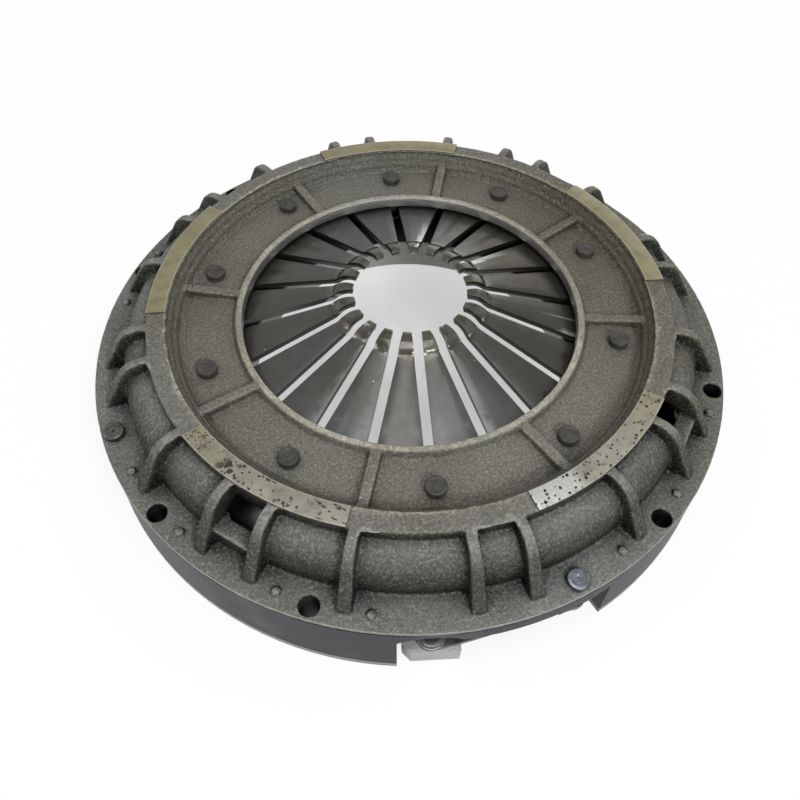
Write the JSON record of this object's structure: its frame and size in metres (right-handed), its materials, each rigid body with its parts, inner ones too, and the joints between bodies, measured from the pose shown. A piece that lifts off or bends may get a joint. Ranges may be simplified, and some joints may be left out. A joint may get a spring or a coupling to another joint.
{
  "type": "clutch pressure plate",
  "caption": "Push-type diaphragm-spring clutch pressure plate for a heavy truck: ribbed cast cover on a segmented skirt, coned spring fingers, plate hung on strap packs.",
  "frame": {"origin": "on the axis at the mounting face, the plane of the skirt's feet that bolts to the flywheel", "axes": "+Z along the axis away from the flywheel, towards the gearbox; +X through the middle of one skirt opening"},
  "size_m": [0.4812, 0.4812, 0.0973],
  "materials": {
    "cast_cover": "as-cast grey-brown, oiled, fine sand grain; pads on the ring machined and lacquered khaki",
    "machined_iron": "turned friction face, otherwise as cast",
    "spring_steel": "phosphated and oiled, satin blue-grey",
    "strap_steel": "rolled strip, dark",
    "wire_steel": "drawn wire",
    "dark_rivet_steel": "black oxide",
    "zinc_steel": "bright zinc plate"
  },
  "bodies": {
    "cover": {"cover": "cast_cover", "upper_wire_ring": "wire_steel", "lower_wire_ring": "wire_steel", "fulcrum_rivets": "dark_rivet_steel", "fulcrum_sleeves": "dark_rivet_steel", "cover_strap_rivets": "zinc_steel", "cover_strap_washers": "zinc_steel", "strap_pack_1": "strap_steel", "strap_pack_2": "strap_steel", "strap_pack_3": "strap_steel", "strap_pack_4": "strap_steel"},
    "pressure_plate": {"pressure_plate": "machined_iron", "plate_strap_rivets": "zinc_steel", "plate_strap_washers": "zinc_steel"},
    "finger_01": {"spring_finger_01": "spring_steel"},
    "finger_02": {"spring_finger_02": "spring_steel"},
    "finger_03": {"spring_finger_03": "spring_steel"},
    "finger_04": {"spring_finger_04": "spring_steel"},
    "finger_05": {"spring_finger_05": "spring_steel"},
    "finger_06": {"spring_finger_06": "spring_steel"},
    "finger_07": {"spring_finger_07": "spring_steel"},
    "finger_08": {"spring_finger_08": "spring_steel"},
    "finger_09": {"spring_finger_09": "spring_steel"},
    "finger_10": {"spring_finger_10": "spring_steel"},
    "finger_11": {"spring_finger_11": "spring_steel"},
    "finger_12": {"spring_finger_12": "spring_steel"},
    "finger_13": {"spring_finger_13": "spring_steel"},
    "finger_14": {"spring_finger_14": "spring_steel"},
    "finger_15": {"spring_finger_15": "spring_steel"},
    "finger_16": {"spring_finger_16": "spring_steel"},
    "finger_17": {"spring_finger_17": "spring_steel"},
    "finger_18": {"spring_finger_18": "spring_steel"},
    "finger_19": {"spring_finger_19": "spring_steel"},
    "finger_20": {"spring_finger_20": "spring_steel"}
  },
  "joints": [
    {"name": "plate_lift", "type": "slide", "parent": "cover", "child": "pressure_plate", "axis": [0, 0, 1], "range_m": [0, 0.01], "deforming": ["strap_pack_1", "strap_pack_2", "strap_pack_3", "strap_pack_4"]},
    {"name": "finger_01_tilt", "type": "hinge", "parent": "cover", "child": "finger_01", "pos_m": [0.165, 0, 0.05693], "axis": [0, -1, 0], "range_deg": [0, 20.2]},
    {"name": "finger_02_tilt", "type": "hinge", "parent": "cover", "child": "finger_02", "pos_m": [0.15692, 0.05099, 0.05693], "axis": [0.309, -0.9511, 0], "range_deg": [0, 20.2]},
    {"name": "finger_03_tilt", "type": "hinge", "parent": "cover", "child": "finger_03", "pos_m": [0.13349, 0.09698, 0.05693], "axis": [0.5878, -0.809, 0], "range_deg": [0, 20.2]},
    {"name": "finger_04_tilt", "type": "hinge", "parent": "cover", "child": "finger_04", "pos_m": [0.09698, 0.13349, 0.05693], "axis": [0.809, -0.5878, 0], "range_deg": [0, 20.2]},
    {"name": "finger_05_tilt", "type": "hinge", "parent": "cover", "child": "finger_05", "pos_m": [0.05099, 0.15692, 0.05693], "axis": [0.9511, -0.309, 0], "range_deg": [0, 20.2]},
    {"name": "finger_06_tilt", "type": "hinge", "parent": "cover", "child": "finger_06", "pos_m": [0, 0.165, 0.05693], "axis": [1, 0, 0], "range_deg": [0, 20.2]},
    {"name": "finger_07_tilt", "type": "hinge", "parent": "cover", "child": "finger_07", "pos_m": [-0.05099, 0.15692, 0.05693], "axis": [0.9511, 0.309, 0], "range_deg": [0, 20.2]},
    {"name": "finger_08_tilt", "type": "hinge", "parent": "cover", "child": "finger_08", "pos_m": [-0.09698, 0.13349, 0.05693], "axis": [0.809, 0.5878, 0], "range_deg": [0, 20.2]},
    {"name": "finger_09_tilt", "type": "hinge", "parent": "cover", "child": "finger_09", "pos_m": [-0.13349, 0.09698, 0.05693], "axis": [0.5878, 0.809, 0], "range_deg": [0, 20.2]},
    {"name": "finger_10_tilt", "type": "hinge", "parent": "cover", "child": "finger_10", "pos_m": [-0.15692, 0.05099, 0.05693], "axis": [0.309, 0.9511, 0], "range_deg": [0, 20.2]},
    {"name": "finger_11_tilt", "type": "hinge", "parent": "cover", "child": "finger_11", "pos_m": [-0.165, 0, 0.05693], "axis": [0, 1, 0], "range_deg": [0, 20.2]},
    {"name": "finger_12_tilt", "type": "hinge", "parent": "cover", "child": "finger_12", "pos_m": [-0.15692, -0.05099, 0.05693], "axis": [-0.309, 0.9511, 0], "range_deg": [0, 20.2]},
    {"name": "finger_13_tilt", "type": "hinge", "parent": "cover", "child": "finger_13", "pos_m": [-0.13349, -0.09698, 0.05693], "axis": [-0.5878, 0.809, 0], "range_deg": [0, 20.2]},
    {"name": "finger_14_tilt", "type": "hinge", "parent": "cover", "child": "finger_14", "pos_m": [-0.09698, -0.13349, 0.05693], "axis": [-0.809, 0.5878, 0], "range_deg": [0, 20.2]},
    {"name": "finger_15_tilt", "type": "hinge", "parent": "cover", "child": "finger_15", "pos_m": [-0.05099, -0.15692, 0.05693], "axis": [-0.9511, 0.309, 0], "range_deg": [0, 20.2]},
    {"name": "finger_16_tilt", "type": "hinge", "parent": "cover", "child": "finger_16", "pos_m": [0, -0.165, 0.05693], "axis": [-1, 0, 0], "range_deg": [0, 20.2]},
    {"name": "finger_17_tilt", "type": "hinge", "parent": "cover", "child": "finger_17", "pos_m": [0.05099, -0.15692, 0.05693], "axis": [-0.9511, -0.309, 0], "range_deg": [0, 20.2]},
    {"name": "finger_18_tilt", "type": "hinge", "parent": "cover", "child": "finger_18", "pos_m": [0.09698, -0.13349, 0.05693], "axis": [-0.809, -0.5878, 0], "range_deg": [0, 20.2]},
    {"name": "finger_19_tilt", "type": "hinge", "parent": "cover", "child": "finger_19", "pos_m": [0.13349, -0.09698, 0.05693], "axis": [-0.5878, -0.809, 0], "range_deg": [0, 20.2]},
    {"name": "finger_20_tilt", "type": "hinge", "parent": "cover", "child": "finger_20", "pos_m": [0.15692, -0.05099, 0.05693], "axis": [-0.309, -0.9511, 0], "range_deg": [0, 20.2]}
  ],
  "couplings": [
    {"joint": "finger_01_tilt", "follows": "plate_lift", "rad_per_m": 35},
    {"joint": "finger_02_tilt", "follows": "plate_lift", "rad_per_m": 35},
    {"joint": "finger_03_tilt", "follows": "plate_lift", "rad_per_m": 35},
    {"joint": "finger_04_tilt", "follows": "plate_lift", "rad_per_m": 35},
    {"joint": "finger_05_tilt", "follows": "plate_lift", "rad_per_m": 35},
    {"joint": "finger_06_tilt", "follows": "plate_lift", "rad_per_m": 35},
    {"joint": "finger_07_tilt", "follows": "plate_lift", "rad_per_m": 35},
    {"joint": "finger_08_tilt", "follows": "plate_lift", "rad_per_m": 35},
    {"joint": "finger_09_tilt", "follows": "plate_lift", "rad_per_m": 35},
    {"joint": "finger_10_tilt", "follows": "plate_lift", "rad_per_m": 35},
    {"joint": "finger_11_tilt", "follows": "plate_lift", "rad_per_m": 35},
    {"joint": "finger_12_tilt", "follows": "plate_lift", "rad_per_m": 35},
    {"joint": "finger_13_tilt", "follows": "plate_lift", "rad_per_m": 35},
    {"joint": "finger_14_tilt", "follows": "plate_lift", "rad_per_m": 35},
    {"joint": "finger_15_tilt", "follows": "plate_lift", "rad_per_m": 35},
    {"joint": "finger_16_tilt", "follows": "plate_lift", "rad_per_m": 35},
    {"joint": "finger_17_tilt", "follows": "plate_lift", "rad_per_m": 35},
    {"joint": "finger_18_tilt", "follows": "plate_lift", "rad_per_m": 35},
    {"joint": "finger_19_tilt", "follows": "plate_lift", "rad_per_m": 35},
    {"joint": "finger_20_tilt", "follows": "plate_lift", "rad_per_m": 35}
  ]
}
